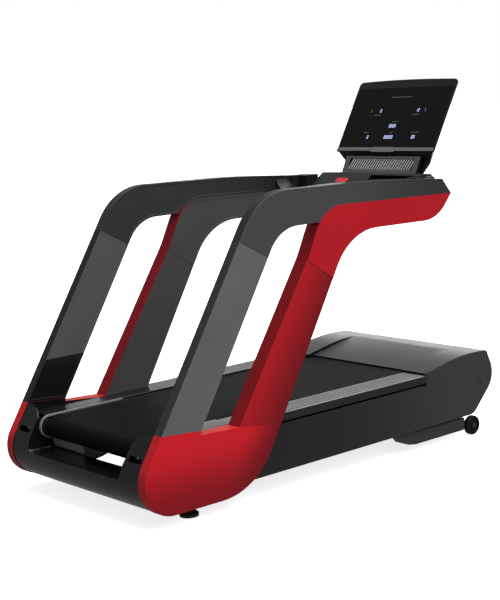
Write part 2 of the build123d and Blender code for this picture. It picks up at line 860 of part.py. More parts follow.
def front_cover():
    """Rounded nose between the side panels."""
    half = PANEL_INNER - 0.5
    skin = hood_skin()
    with BuildPart() as piece:
        with BuildSketch(side_plane(-half)):
            add(skin)
            with BuildLine():
                Polyline((1848.5, 400), (1848.5, 300), (1780, 200), (1755, 80), (1950, 80), (1950, 400), close=True)
            make_face(mode=Mode.INTERSECT)
        extrude(amount=2 * half)
        with BuildSketch(NOSE_SLOPE):
            with Locations((INLET_X, 0)):
                Rectangle(INLET_LONG - 5, INLET_HIGH - 5)
            with Locations(*[(x, 0) for x in SCREW_XS]):
                Circle(2.2)
        extrude(amount=-12, both=True, mode=Mode.SUBTRACT)
    return piece.part


def cover_opening(grow):
    """The rounded mouth of the rear cover, open at the top."""
    half = 303 + grow
    with BuildSketch() as mouth:
        with BuildLine():
            Polyline((-half, 178 - grow), (half, 178 - grow), (half + 14, 365), (-half - 14, 365), close=True)
        make_face()
        fillet(mouth.vertices().group_by(Axis.Y)[0], radius=24)
    return mouth.sketch


def rear_cover():
    """U-shaped rear moulding with a deep mouth below the belt and two bolt slots."""
    half = THIN_INNER - 2
    depth = 120
    inset = offset(base_outline(), amount=-2)
    skin = inset - offset(base_outline(), amount=-2 - WALL)
    lip = cover_opening(WALL) - cover_opening(0)
    mouth = cover_opening(0)
    with BuildPart() as piece:
        with BuildSketch(side_plane(-half)):
            add(inset)
            with Locations((depth - 100, 202)):
                Rectangle(200, 200, mode=Mode.INTERSECT)
        extrude(amount=2 * half)
        with BuildSketch(rear_plane(-20)):
            add(lip)
        extrude(amount=-200, mode=Mode.INTERSECT)
        with BuildSketch(side_plane(-half)):
            with Locations((190, 340)):
                Rectangle(200, 220)
        extrude(amount=2 * half, mode=Mode.SUBTRACT)
        with BuildSketch(side_plane(-half)):
            add(skin)
            with Locations((95, 200)):
                Rectangle(190, 310, mode=Mode.INTERSECT)
            with Locations((190, 330)):
                Rectangle(180, 160, mode=Mode.SUBTRACT)
        extrude(amount=2 * half)
        with BuildSketch(rear_plane(-20)):
            add(mouth)
            with Locations((-365, 256), (365, 256)):
                RectangleRounded(72, 20, 4)
            for side in SIDES.values():
                with BuildLine():
                    Polyline((side * 290, 302), (side * 312, 302), (side * 340, 327), (side * 420, 344),
                             (side * 420, 420), (side * 290, 420), close=True)
                make_face()
        extrude(amount=-260, mode=Mode.SUBTRACT)
    return piece.part


def roller_guard(side):
    """Strip along the belt's edge that curls round the rear roller's end."""
    bend = 42.5
    with BuildPart() as piece:
        with BuildSketch(side_plane(side * 297)):
            with BuildLine():
                top = Line((458, ROLLER_Z + bend), (REAR_ROLLER_Y, ROLLER_Z + bend))
                turn = JernArc(start=top @ 1, tangent=(-1, 0), radius=bend, arc_size=180)
                Line(turn @ 1, (REAR_ROLLER_Y + 12, ROLLER_Z - bend))
            trace(line_width=7)
        extrude(amount=side * 8)
        if side < 0:
            with BuildSketch(rear_plane(121)):
                with BuildLine():
                    Polyline((-304, 219), (-92, 219), (-92, 184), (-288, 184), (-304, 200), close=True)
                make_face()
            extrude(amount=-4)
    return piece.part


# ---- Console ----
def console_bridge():
    """Beam between the arms, rising in a concave sweep at each end."""
    half = THICK_INNER - 0.5
    bottom, top, ear = 985, 1040, 1105
    inside = offset(arm_outline() + front_outline(), amount=-3)
    with BuildPart() as piece:
        with BuildSketch(rear_plane(1430)):
            with BuildLine():
                Polyline((-half, ear), (-half, bottom), (half, bottom), (half, ear))
                RadiusArc((half, ear), (BRIDGE_FLAT, top), 101)
                Line((BRIDGE_FLAT, top), (-BRIDGE_FLAT, top))
                RadiusArc((-BRIDGE_FLAT, top), (-half, ear), 101)
            make_face()
        extrude(amount=-182)
        with BuildSketch(side_plane(-half)):
            add(inside)
        extrude(amount=2 * half, mode=Mode.INTERSECT)
    return piece.part


def console_tray():
    """Hollow console base with a sloping control face and the neck behind it."""
    neck_foot = display_point(-70, -CHIN_BACK)
    neck_head = display_point(-16, -CHIN_BACK)
    outline = rounded_outline([
        (*TRAY_REAR, 0), (*TRAY_RIDGE, 8), (*DECK_REAR, 0), (*neck_foot, 0),
        (*neck_head, 0), (1800, neck_head[1], 6), (1800, 1072, 10), (1770, 1040, 0),
    ])
    cavity = offset(outline, amount=-WALL)
    with BuildPart() as piece:
        with BuildSketch(side_plane(-TRAY_HALF)):
            add(outline)
        extrude(amount=2 * TRAY_HALF)
        for side in SIDES.values():
            with BuildSketch(side_plane(side * NECK_HALF)):
                with BuildLine():
                    Polyline(DECK_REAR, (1690, 1300), (1900, 1300), (1900, 1040), (1800, 1072), close=True)
                make_face()
            extrude(amount=side * 200, mode=Mode.SUBTRACT)
            with BuildSketch(plan_plane(1030)):
                with BuildLine():
                    Polyline((side * TRAY_HALF, 1640), (side * 236, 1800), (side * 320, 1800), close=True)
                make_face()
            extrude(amount=200, mode=Mode.SUBTRACT)
        with BuildSketch(side_plane(WALL - NECK_HALF)):
            add(cavity)
        extrude(amount=2 * (NECK_HALF - WALL), mode=Mode.SUBTRACT)
        with BuildSketch(side_plane(WALL - TRAY_HALF)):
            add(cavity)
            with Locations((1590, 1060)):
                Rectangle(180, 120, mode=Mode.INTERSECT)
        extrude(amount=2 * (TRAY_HALF - WALL), mode=Mode.SUBTRACT)
        with BuildSketch(plan_plane(1030)):
            with Locations((0, 1660)):
                Rectangle(2 * NECK_HALF - 20, 180)
        extrude(amount=20, mode=Mode.SUBTRACT)
        with BuildSketch(TRAY):
            with Locations(BOX_CENTRE):
                RectangleRounded(BOX_LONG, BOX_WIDE, 12)
            with Locations(STOP_CENTRE):
                RectangleRounded(STOP_LONG + 1, STOP_WIDE + 1, 8)
        extrude(amount=-12, both=True, mode=Mode.SUBTRACT)
        with BuildSketch(GRILLE.offset(-GRILLE_DEEP - SEAM / 2)):
            Rectangle(GRILLE_WIDE + SEAM, 30)
        extrude(amount=GRILLE_DEEP + SEAM, mode=Mode.SUBTRACT)
    return piece.part


def accessory_tray():
    """Shallow box for keys and a phone, hung in the console base by its rim."""
    with BuildPart() as piece:
        with BuildSketch(TRAY):
            with Locations(BOX_CENTRE):
                RectangleRounded(BOX_LONG + 10, BOX_WIDE + 10, 16)
        extrude(amount=3)
        with BuildSketch(TRAY):
            with Locations(BOX_CENTRE):
                RectangleRounded(BOX_LONG - 0.6, BOX_WIDE - 0.6, 11)
        extrude(amount=-20)
        with BuildSketch(TRAY.offset(3)):
            with Locations(BOX_CENTRE):
                RectangleRounded(BOX_LONG - 6, BOX_WIDE - 6, 9)
        extrude(amount=-20, mode=Mode.SUBTRACT)
    return piece.part


def stop_button():
    """Large emergency stop key with a flange that keeps it under the console face."""
    with BuildPart() as piece:
        with BuildSketch(TRAY.offset(-STOP_BELOW)):
            with Locations(STOP_CENTRE):
                RectangleRounded(STOP_LONG, STOP_WIDE, 7)
        extrude(amount=STOP_BELOW + STOP_PROUD)
        fillet(piece.faces().sort_by(Axis.Z)[-1].edges(), radius=3)
        with BuildSketch(TRAY.offset(-STOP_BELOW)):
            with Locations(STOP_CENTRE):
                RectangleRounded(STOP_LONG + 8, STOP_WIDE + 8, 8)
        extrude(amount=5)
    return piece.part


def display_chin():
    """Wedge under the display that falls back behind the grille and narrows as it goes."""
    half = 288
    level = Plane(origin=DISPLAY.origin, x_dir=(1, 0, 0), z_dir=DISPLAY.y_dir)
    profile = [display_point(up, out) for up, out in (
        (4, -5), (-10, -5), (-40, -CHIN_FRONT), (-91, -CHIN_FRONT), (-91, -CHIN_BACK), (4, -CHIN_BACK))]
    with BuildPart() as chin:
        with BuildSketch(side_plane(-half)):
            with BuildLine():
                Polyline(*profile, close=True)
            make_face()
        extrude(amount=2 * half)
        for side in SIDES.values():
            with BuildSketch(level):
                with BuildLine():
                    Polyline((side * half, 0), (side * 250, CHIN_BACK + 2), (side * 350, CHIN_BACK + 2),
                             (side * 350, 0), close=True)
                make_face()
            extrude(amount=120, both=True, mode=Mode.SUBTRACT)
            with BuildSketch(DISPLAY):
                with BuildLine():
                    Polyline((side * half, -8), (side * 254, -40), (side * 233, -92), (side * 350, -92),
                             (side * 350, -8), close=True)
                make_face()
            extrude(amount=-100, mode=Mode.SUBTRACT)
    return chin.part


def console_housing():
    """Front frame of the display, its bulging back, and a chin that tapers down behind the grille."""
    crown = DISPLAY_TALL - 7
    with BuildPart() as piece:
        with BuildSketch(DISPLAY.offset(-6)):
            with BuildLine():
                Polyline((-DISPLAY_HALF, crown), (-DISPLAY_HALF, -12), (DISPLAY_HALF, -12), (DISPLAY_HALF, crown))
                ThreePointArc((DISPLAY_HALF, crown), (0, DISPLAY_TALL), (-DISPLAY_HALF, crown))
            make_face()
            fillet(vertices().group_by(Axis.Y)[-1], radius=20)
        extrude(amount=6)
        with BuildSketch(DISPLAY.offset(-6)):
            with Locations((0, DISPLAY_TALL / 2 - 10)):
                Rectangle(2 * DISPLAY_HALF - 12, DISPLAY_TALL - 4)
        extrude(amount=6 - DISPLAY_THICK, taper=45)
        add(display_chin())
        with BuildSketch(DISPLAY):
            with Locations(GLASS_CENTRE):
                RectangleRounded(GLASS_WIDE + SEAM, GLASS_TALL + SEAM, 6)
        extrude(amount=-3, mode=Mode.SUBTRACT)
        with BuildSketch(DISPLAY):
            with Locations((0, -1)):
                Rectangle(BEZEL_WIDE + SEAM, BEZEL_TALL + SEAM)
        extrude(amount=-2, mode=Mode.SUBTRACT)
    return piece.part


def display_glass():
    with BuildPart() as piece:
        with BuildSketch(DISPLAY.offset(-3)):
            with Locations(GLASS_CENTRE):
                RectangleRounded(GLASS_WIDE, GLASS_TALL, 5.8)
        extrude(amount=3)
    return piece.part


def console_bezel():
    """Silver strip under the glass with a plain plate in its middle."""
    with BuildPart() as piece:
        with BuildSketch(DISPLAY.offset(-2)):
            with Locations((0, -1)):
                Rectangle(BEZEL_WIDE, BEZEL_TALL)
        extrude(amount=5)
        with BuildSketch(DISPLAY.offset(3)):
            with Locations((-4, -4)):
                RectangleRounded(138, 23, 5)
        extrude(amount=3)
    return piece.part


def vent_grille():
    """Air outlet: a frame with a row of leaning slats."""
    high = hypot(GRILLE_HEAD[0] - GRILLE_FOOT[0], GRILLE_HEAD[1] - GRILLE_FOOT[1])
    window_high = 52
    window = (0, high / 2 + 3)
    with BuildPart() as piece:
        with BuildSketch(GRILLE.offset(-GRILLE_DEEP)):
            with Locations((0, high / 2)):
                RectangleRounded(GRILLE_WIDE, high, 5)
            with Locations(window):
                RectangleRounded(384, window_high, 3, mode=Mode.SUBTRACT)
        extrude(amount=GRILLE_DEEP)
        with BuildSketch(GRILLE.offset(-10)):
            with Locations(window):
                with GridLocations(9.6, 0, 39, 1):
                    Rectangle(2.4, window_high + 4, rotation=-14)
        extrude(amount=5)
        with BuildSketch(GRILLE.offset(-GRILLE_DEEP)):
            with Locations(window):
                RectangleRounded(386, window_high + 2, 3)
        extrude(amount=2)
    return piece.part


# ---- Power inlet and switch, on the nose's underside slope ----


def power_inlet():
    """Flanged mains inlet with three pins, and the frame of the rocker switch."""
    with BuildPart() as piece:
        with BuildSketch(NOSE_SLOPE):
            with Locations((INLET_X, 0)):
                RectangleRounded(INLET_LONG, INLET_HIGH, 4)
        extrude(amount=2.5)
        with BuildSketch(NOSE_SLOPE):
            with Locations((INLET_X, 0)):
                Rectangle(INLET_LONG - 6, INLET_HIGH - 6)
        extrude(amount=-24)
        with BuildSketch(NOSE_SLOPE.offset(2.5)):
            with Locations((SOCKET_X, 0)):
                RectangleRounded(27, 19, 3)
            with Locations((ROCKER_X, 0)):
                Rectangle(24, 14)
        extrude(amount=-20, mode=Mode.SUBTRACT)
        with BuildSketch(NOSE_SLOPE.offset(-19)):
            with Locations((SOCKET_X - 7, 2), (SOCKET_X, -2), (SOCKET_X + 7, 2)):
                Rectangle(2, 6)
        extrude(amount=11)
        with BuildSketch(rocker_axis_plane().offset(-9)):
            Circle(1.55)
        extrude(amount=18, mode=Mode.SUBTRACT)
    return piece.part


def rocker_axis_plane():
    """A plane on the rocker's hinge line, facing along it."""
    centre = NOSE_SLOPE.offset(-4).from_local_coords((ROCKER_X, 0, 0))
    return Plane(origin=centre, x_dir=(1, 0, 0), z_dir=NOSE_SLOPE.y_dir)


def power_switch():
    """Two-sided rocker, resting tilted in its off position."""
    axis_plane = rocker_axis_plane()
    with BuildPart() as piece:
        with BuildSketch(axis_plane.offset(-6.5)):
            with BuildLine():
                Polyline((-10.5, -6), (-9, 5), (9, 5), (10.5, -6), (0, -3.5), close=True)
            make_face()
        extrude(amount=13)
        with BuildSketch(axis_plane.offset(-8.5)):
            Circle(1.5)
        extrude(amount=17)
    return piece.part.rotate(Axis(axis_plane.origin, axis_plane.z_dir), ROCKER_REST)


def hood_screws():
    """Pan-head screws that hold the nose cover."""
    with BuildPart() as piece:
        with BuildSketch(NOSE_SLOPE):
            with Locations(*[(x, 0) for x in SCREW_XS]):
                Circle(5)
        extrude(amount=2.5)
        with BuildSketch(NOSE_SLOPE):
            with Locations(*[(x, 0) for x in SCREW_XS]):
                Circle(2)
        extrude(amount=-14)
    return piece.part


def main():
    os.makedirs("parts", exist_ok=True)
    for name, side in SIDES.items():
        rear_leg, arm_cover = arm_pieces(side)
        front_leg, arm_skirt = front_pieces(side)
        save(rear_leg, f"rear_leg_{name}")
        save(arm_cover, f"arm_cover_{name}")
        save(front_leg, f"front_leg_{name}")
        save(arm_skirt, f"arm_skirt_{name}")
        save(arm_liner(side), f"arm_liner_{name}")
        save(leg_liner(side), f"leg_liner_{name}")
        save(base_shell(side), f"base_shell_{name}")
        save(levelling_foot(side), f"levelling_foot_{name}")
        save(transport_wheel(side), f"transport_wheel_{name}")
        save(foot_rail(side), f"foot_rail_{name}")
        save(rail_end(side), f"rail_end_{name}")
        save(side_panel(side), f"side_panel_{name}")
        save(roller_guard(side), f"roller_guard_{name}")
    save(handrail_frames(), "handrail_frames")
    save(frame_rails(), "frame_rails")
    save(cross_members(), "cross_members")
    save(motor_tray(), "motor_tray")
    save(belt_loop(BELT_WIDTH, ROLLER_R + FIT_GAP, (REAR_ROLLER_Y, ROLLER_Z), (FRONT_ROLLER_Y, ROLLER_Z),
                   BELT_THICK), "running_belt")
    save(deck_board(), "deck_board")
    save(deck_cushions(), "deck_cushions")
    save(roller(REAR_ROLLER_Y, False), "rear_roller")
    save(roller(FRONT_ROLLER_Y, True), "front_roller")
    save(roller_axles(), "roller_axles")
    save(roller_bearings(), "roller_bearings")
    save(tension_bolts(), "tension_bolts")
    save(drive_motor(), "drive_motor")
    save(motor_rotor(), "motor_rotor")
    save(drive_belt(), "drive_belt")
    save(control_unit(), "control_unit")
    save(lift_frame(), "lift_frame")
    save(pivot_bushes(), "pivot_bushes")
    save(incline_screw(), "incline_screw")
    save(incline_motor(), "incline_motor")
    save(motor_hood(), "motor_hood")
    save(front_cover(), "front_cover")
    save(rear_cover(), "rear_cover")
    save(console_bridge(), "console_bridge")
    save(console_tray(), "console_tray")
    save(accessory_tray(), "accessory_tray")
    save(stop_button(), "stop_button")
    save(console_housing(), "console_housing")
    save(display_glass(), "display_glass")
    save(console_bezel(), "console_bezel")
    save(vent_grille(), "vent_grille")
    save(power_inlet(), "power_inlet")
    save(power_switch(), "power_switch")
    save(hood_screws(), "hood_screws")


main()
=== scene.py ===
import json
from math import cos, hypot, radians, sin

import bmesh
import bpy
from mathutils import Matrix, Vector


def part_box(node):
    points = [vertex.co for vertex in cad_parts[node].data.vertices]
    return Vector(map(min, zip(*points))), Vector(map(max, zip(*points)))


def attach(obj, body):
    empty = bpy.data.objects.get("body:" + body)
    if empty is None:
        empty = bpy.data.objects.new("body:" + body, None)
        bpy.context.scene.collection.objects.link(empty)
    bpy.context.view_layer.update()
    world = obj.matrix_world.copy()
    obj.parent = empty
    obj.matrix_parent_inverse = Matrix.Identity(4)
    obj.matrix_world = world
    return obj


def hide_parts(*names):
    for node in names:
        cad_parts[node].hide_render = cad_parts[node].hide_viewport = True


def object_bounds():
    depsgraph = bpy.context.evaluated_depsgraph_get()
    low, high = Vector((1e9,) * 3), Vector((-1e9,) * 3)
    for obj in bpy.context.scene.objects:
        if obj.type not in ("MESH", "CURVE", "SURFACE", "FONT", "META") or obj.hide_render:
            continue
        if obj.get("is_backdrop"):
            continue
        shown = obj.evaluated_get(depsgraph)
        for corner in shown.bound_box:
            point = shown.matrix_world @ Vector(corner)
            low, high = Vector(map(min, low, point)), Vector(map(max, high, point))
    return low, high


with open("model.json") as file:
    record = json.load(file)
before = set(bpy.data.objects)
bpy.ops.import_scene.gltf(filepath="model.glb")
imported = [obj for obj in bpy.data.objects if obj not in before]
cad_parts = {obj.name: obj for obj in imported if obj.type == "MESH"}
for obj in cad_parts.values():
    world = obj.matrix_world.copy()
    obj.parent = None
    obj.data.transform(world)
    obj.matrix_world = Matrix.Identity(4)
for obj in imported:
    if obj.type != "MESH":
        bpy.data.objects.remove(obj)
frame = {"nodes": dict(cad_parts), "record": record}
CAD_LOW, CAD_HIGH = (list(corner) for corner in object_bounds())
NODES = frame["nodes"]
SIDES = {"left": -1, "right": 1}

# Side profiles are written as (distance from this line, height), in metres.
REAR = CAD_LOW[1] - 0.0033
HALF_WIDTH = CAD_HIGH[0]
THIN_INNER = 0.416       # inner face of the rear legs and the arms' rear half
THICK_INNER = 0.395      # inner face of the front legs and the arms' front half


# ---- Materials ----
COAT_ROUGHNESS = 0.12
SHEEN_CELLS, SHEEN_SWING = 12.0, 0.03    # uneven gloss: cells per metre, and how far roughness swings
TINT_CELLS, TINT_SWING = 5.0, 0.06       # colour drift: cells per metre, and its share of the colour
NOISE_LOW, NOISE_HIGH = 0.3, 0.7         # the part of the noise's range that is used


class Look:
    """One procedural material: fine grain, slow colour drift and uneven gloss on a Principled shader."""

    def __init__(self, name, color, roughness, specular=0.5, coat=0.0, metallic=0.0):
        self.material = bpy.data.materials.new(name)
        self.material.use_nodes = True
        self.tree = self.material.node_tree
        self.shader = self.tree.nodes["Principled BSDF"]
        self.shader.inputs["Metallic"].default_value = metallic
        self.shader.inputs["Specular IOR Level"].default_value = specular
        self.shader.inputs["Coat Weight"].default_value = coat
        self.shader.inputs["Coat Roughness"].default_value = COAT_ROUGHNESS
        self.place = self.node("ShaderNodeTexCoord").outputs["Object"]
        self.color = self.drift(color)
        self.roughness = self.spread(SHEEN_CELLS, roughness - SHEEN_SWING, roughness + SHEEN_SWING)
        self.relief = None

    def node(self, kind, **settings):
        """A new shader node with these settings."""
        made = self.tree.nodes.new(kind)
        for key, value in settings.items():
            setattr(made, key, value)
        return made

    def link(self, source, target):
        """Join an output to an input."""
        self.tree.links.new(source, target)

    def noise(self, cells, detail=3.0, stretch=None):
        """A noise value, stretched along an axis if asked."""
        made = self.node("ShaderNodeTexNoise")
        made.inputs["Scale"].default_value = cells
        made.inputs["Detail"].default_value = detail
        place = self.place
        if stretch:
            mapping = self.node("ShaderNodeMapping")
            mapping.inputs["Scale"].default_value = stretch
            self.link(place, mapping.inputs["Vector"])
            place = mapping.outputs["Vector"]
        self.link(place, made.inputs["Vector"])
        return made.outputs["Fac"]

    def spread(self, cells, low, high):
        """Noise mapped on to a range."""
        made = self.node("ShaderNodeMapRange")
        made.inputs["From Min"].default_value = NOISE_LOW
        made.inputs["From Max"].default_value = NOISE_HIGH
        made.inputs["To Min"].default_value = low
        made.inputs["To Max"].default_value = high
        self.link(self.noise(cells), made.inputs["Value"])
        return made.outputs["Result"]

    def mix(self, factor, first, second):
        """Blend two colours by a value; each is a colour or a socket."""
        made = self.node("ShaderNodeMix", data_type="RGBA")
        self.link(factor, made.inputs["Factor"])
        for source, slot in ((first, "A"), (second, "B")):
            target = [i for i in made.inputs if i.name == slot and i.type == "RGBA"][0]
            if isinstance(source, (tuple, list)):
                target.default_value = (*source[:3], 1.0)
            else:
                self.link(source, target)
        return [o for o in made.outputs if o.type == "RGBA"][0]

    def drift(self, color):
        """The base colour, a little darker and lighter from place to place."""
        darker = [(1 - TINT_SWING) * c for c in color]
        lighter = [(1 + TINT_SWING) * c for c in color]
        return self.mix(self.spread(TINT_CELLS, 0.0, 1.0), darker, lighter)

    def fade(self, direction, start, end, color):
        """Turn slowly to another colour along a direction, in metres from the frame's origin; every fade in
        this script paints light or shade.
        """
        dot = self.node("ShaderNodeVectorMath", operation="DOT_PRODUCT")
        dot.inputs[1].default_value = direction
        self.link(self.place, dot.inputs[0])
        along = self.node("ShaderNodeMapRange", interpolation_type="SMOOTHSTEP")
        along.inputs["From Min"].default_value = start
        along.inputs["From Max"].default_value = end
        self.link(dot.outputs["Value"], along.inputs["Value"])
        self.color = self.mix(along.outputs["Result"], self.color, color)
        return self

    def grain(self, cells, depth, detail=2.0, stretch=None):
        """Fine surface relief, depth in metres."""
        made = self.node("ShaderNodeBump")
        made.inputs["Strength"].default_value = 1.0
        made.inputs["Distance"].default_value = depth
        self.link(self.noise(cells, detail, stretch), made.inputs["Height"])
        self.relief = made.outputs["Normal"]
        return self

    def glow(self, color, strength):
        """Light of the surface's own."""
        self.shader.inputs["Emission Color"].default_value = (*color, 1.0)
        self.shader.inputs["Emission Strength"].default_value = strength
        return self

    def finish(self):
        """Join everything to the shader and hand over the material."""
        self.link(self.color, self.shader.inputs["Base Color"])
        self.link(self.roughness, self.shader.inputs["Roughness"])
        if self.relief:
            self.link(self.relief, self.shader.inputs["Normal"])
        return self.material


ALONG_X = (1.0, 0.0, 0.0)
ALONG_Y = (0.0, 1.0, 0.0)
ALONG_Z = (0.0, 0.0, 1.0)
ACROSS_LEG = (0.0, 0.835, -0.55)      # square to the sloping legs
LEG_FADE = 0.835 * REAR + 0.175       # painted shade across the legs is measured from here, 24 mm behind the front ones
MOULD_CELLS = 1400.0                  # relief of moulded plastic, cells per metre
PAINT_CELLS, PAINT_DEPTH = 900.0, 0.00002


def moulded(name, color, roughness, specular=0.4, coat=0.0, depth=0.00003):
    """Moulded plastic with a fine texture."""
    return Look(name, color, roughness, specular, coat).grain(MOULD_CELLS, depth)


def painted(name, color, roughness=0.32, specular=0.25, coat=0.12):
    """Smooth paint with a trace of orange peel."""
    return Look(name, color, roughness, specular, coat).grain(PAINT_CELLS, PAINT_DEPTH)


def make_materials():
    """Every material by name."""
    looks = {
        "leg_grey": moulded("leg_grey", (0.15, 0.15, 0.151), 0.42),
        # leg_rim: near-black on the far side, turning dark grey on the near side as painted light
        "leg_rim": moulded("leg_rim", (0.007, 0.007, 0.007), 0.32).fade(
            ALONG_X, -0.40, 0.40, (0.030, 0.030, 0.030)),
        "leg_liner": moulded("leg_liner", (0.125, 0.124, 0.124), 0.45),
        "leg_gloss": moulded("leg_gloss", (0.010, 0.010, 0.010), 0.16, 0.35, 0.1, 0.00001),
        # arm_grey: darker towards the nose, painted shade where the arm's front turns away from the light
        "arm_grey": moulded("arm_grey", (0.076, 0.073, 0.074), 0.32).fade(
            ALONG_Y, REAR + 0.9, REAR + 1.65, (0.038, 0.036, 0.037)),
        "arm_rim": moulded("arm_rim", (0.014, 0.0135, 0.014), 0.22, 0.5, 0.15, 0.00001),
        # arm_liner: darker towards the front, painted shade where the inner face meets the console
        "arm_liner": moulded("arm_liner", (0.044, 0.042, 0.043), 0.42).fade(
            ALONG_Y, REAR + 1.1, REAR + 1.6, (0.014, 0.0135, 0.014)),
        "front_liner": moulded("front_liner", (0.086, 0.082, 0.083), 0.45),
        "red_arm": painted("red_arm", (0.60, 0.0075, 0.018)),
        # red_leg: a darker copy of red_arm as painted shade, fading darker still towards the front edge as
        # painted shade
        "red_leg": painted("red_leg", (0.56, 0.007, 0.016)).fade(
            ACROSS_LEG, LEG_FADE + 0.02, LEG_FADE + 0.21, (0.23, 0.004, 0.010)),
        # red_base: lighter towards the top and darker towards the floor and the front edge, all painted light
        # and shade
        "red_base": painted("red_base", (0.30, 0.004, 0.011)).fade(
            ALONG_Z, 0.06, 0.30, (0.80, 0.011, 0.024)).fade(
            ACROSS_LEG, LEG_FADE + 0.05, LEG_FADE + 0.21, (0.23, 0.004, 0.010)),
        "red_rim": painted("red_rim", (0.56, 0.014, 0.018), 0.5, 0.2, 0.0),
        "red_shade": painted("red_shade", (0.27, 0.004, 0.010), 0.5, 0.2, 0.0),
        "cover": moulded("cover", (0.0055, 0.0054, 0.0055), 0.24, 0.34, 0.1),
        # panel: lighter towards the front, painted light
        "panel": moulded("panel", (0.018, 0.0172, 0.0176), 0.42, 0.35).fade(
            ALONG_Y, REAR + 0.9, REAR + 1.8, (0.052, 0.050, 0.051)),
        # hood: much lighter towards the front, a painted highlight on its top
        "hood": moulded("hood", (0.050, 0.050, 0.050), 0.30, 0.5).fade(
            ALONG_Y, REAR + 1.50, REAR + 1.86, (0.17, 0.17, 0.17)),
        # near-black painted shade for the hood's underside and edges and for the grille's openings
        "hood_painted_shade": moulded("hood_painted_shade", (0.008, 0.008, 0.008), 0.40, 0.3),
        "rail_ridge": moulded("rail_ridge", (0.31, 0.31, 0.31), 0.45, 0.3),
        "rail": moulded("rail", (0.017, 0.017, 0.017), 0.42),
        "rail_end": moulded("rail_end", (0.010, 0.010, 0.010), 0.30, 0.4),
        "trim": moulded("trim", (0.27, 0.27, 0.27), 0.38),
        # belt: darker at the rear and lighter towards the front, painted shading and sheen
        "belt": Look("belt", (0.0025, 0.0025, 0.0025), 0.75, 0.08).grain(700.0, 0.0001, 4.0).fade(
            ALONG_Y, REAR + 0.1, REAR + 1.0, (0.014, 0.014, 0.0142)),
        "rubber": Look("rubber", (0.010, 0.010, 0.010), 0.60, 0.3).grain(500.0, 0.0002),
        "tread": Look("tread", (0.007, 0.007, 0.007), 0.55, 0.2).grain(300.0, 0.0002),
        "phenolic": Look("phenolic", (0.018, 0.014, 0.011), 0.35, 0.4).grain(
            40.0, 0.0001, 4.0, (1, 0.1, 1)),
        "powder_coat": Look("powder_coat", (0.022, 0.022, 0.023), 0.5, 0.4).grain(1200.0, 0.0001),
        "lift_paint": Look("lift_paint", (0.040, 0.040, 0.041), 0.45, 0.4).grain(1200.0, 0.0001),
        "steel": Look("steel", (0.55, 0.55, 0.56), 0.3, metallic=1.0).grain(200.0, 0.00003, 2.0, (1, 20, 20)),
        "enamel": Look("enamel", (0.09, 0.09, 0.10), 0.35, coat=0.2).grain(300.0, 0.00005),
        "aluminium": Look("aluminium", (0.60, 0.60, 0.61), 0.35, metallic=1.0).grain(300.0, 0.00003),
        "case": moulded("case", (0.010, 0.0098, 0.0102), 0.26, 0.4, 0.1),
        "console": moulded("console", (0.019, 0.0185, 0.019), 0.38, 0.35),
        "glass": Look("glass", (0.0045, 0.0042, 0.0042), 0.10, 0.20).grain(30.0, 0.00001),
        "bezel": Look("bezel", (0.026, 0.026, 0.0265), 0.34, 0.35).grain(
            600.0, 0.00002, 2.0, (1, 12, 12)),
        "plate": Look("plate", (0.22, 0.22, 0.222), 0.35, 0.5, metallic=0.2).grain(900.0, 0.00003),
        "grille": moulded("grille", (0.11, 0.11, 0.112), 0.35, 0.5),
        "slat": moulded("slat", (0.70, 0.70, 0.705), 0.35, 0.5),
        "stop": Look("stop", (0.62, 0.030, 0.055), 0.35, 0.4).grain(500.0, 0.00003),
        "socket": moulded("socket", (0.012, 0.012, 0.012), 0.4, 0.3),
        "digit": Look("digit", (0.45, 0.50, 0.90), 0.5).glow((0.55, 0.60, 1.0), 0.75),
        "digit_dim": Look("digit_dim", (0.16, 0.16, 0.18), 0.5),
        "print": Look("print", (0.13, 0.13, 0.13), 0.5),
    }
    return {name: look.finish() for name, look in looks.items()}


MATERIALS = make_materials()


# ---- Mesh helpers ----
SHARP = 35               # degrees between faces from which an edge is drawn sharp and may be bevelled
SAME_POINT = 1e-6        # CAD corners closer than this are one
SAME_PLANE = 0.3         # degrees within which neighbouring CAD faces are merged


def add_object(name, mesh, materials, body):
    """A new piece that rides on a body."""
    piece = bpy.data.objects.new(name, mesh)
    bpy.context.scene.collection.objects.link(piece)
    for material in materials:
        mesh.materials.append(MATERIALS[material])
    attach(piece, body)
    return piece


def smooth(mesh):
    """Smooth shading that breaks at sharp edges."""
    for polygon in mesh.polygons:
        polygon.use_smooth = True
    mesh.set_sharp_from_angle(angle=radians(SHARP))


def bevel(piece, width, segments=3, by_weight=False):
    """Round the sharp edges, or only those with a weight."""
    modifier = piece.modifiers.new("rounded_edges", "BEVEL")
    modifier.width = width
    modifier.segments = segments
    modifier.limit_method = "WEIGHT" if by_weight else "ANGLE"
    modifier.angle_limit = radians(SHARP)
    modifier.harden_normals = True


def body_of(node):
    """The body that a node belongs to."""
    return [b for b, nodes in frame["record"]["behaviour"]["bodies"].items() if node in nodes][0]


def soften(node, materials, width, choose=None):
    """A copy of a CAD node with its flat areas merged and its edges rounded, shown in the node's place.

    choose(centre, normal) picks a face's material, by its place in the list."""
    source = NODES[node].data
    mesh = bpy.data.meshes.new(node + "_skin")
    mesh.from_pydata([v.co for v in source.vertices], [], [list(p.vertices) for p in source.polygons])
    work = bmesh.new()
    work.from_mesh(mesh)
    bmesh.ops.remove_doubles(work, verts=work.verts, dist=SAME_POINT)
    bmesh.ops.dissolve_limit(work, angle_limit=radians(SAME_PLANE), verts=work.verts, edges=work.edges)
    if choose:
        work.normal_update()
        for face in work.faces:
            face.material_index = choose(face.calc_center_median(), face.normal)
    work.to_mesh(mesh)
    work.free()
    smooth(mesh)
    piece = add_object(node + "_skin", mesh, materials, body_of(node))
    bevel(piece, width)
    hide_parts(node)


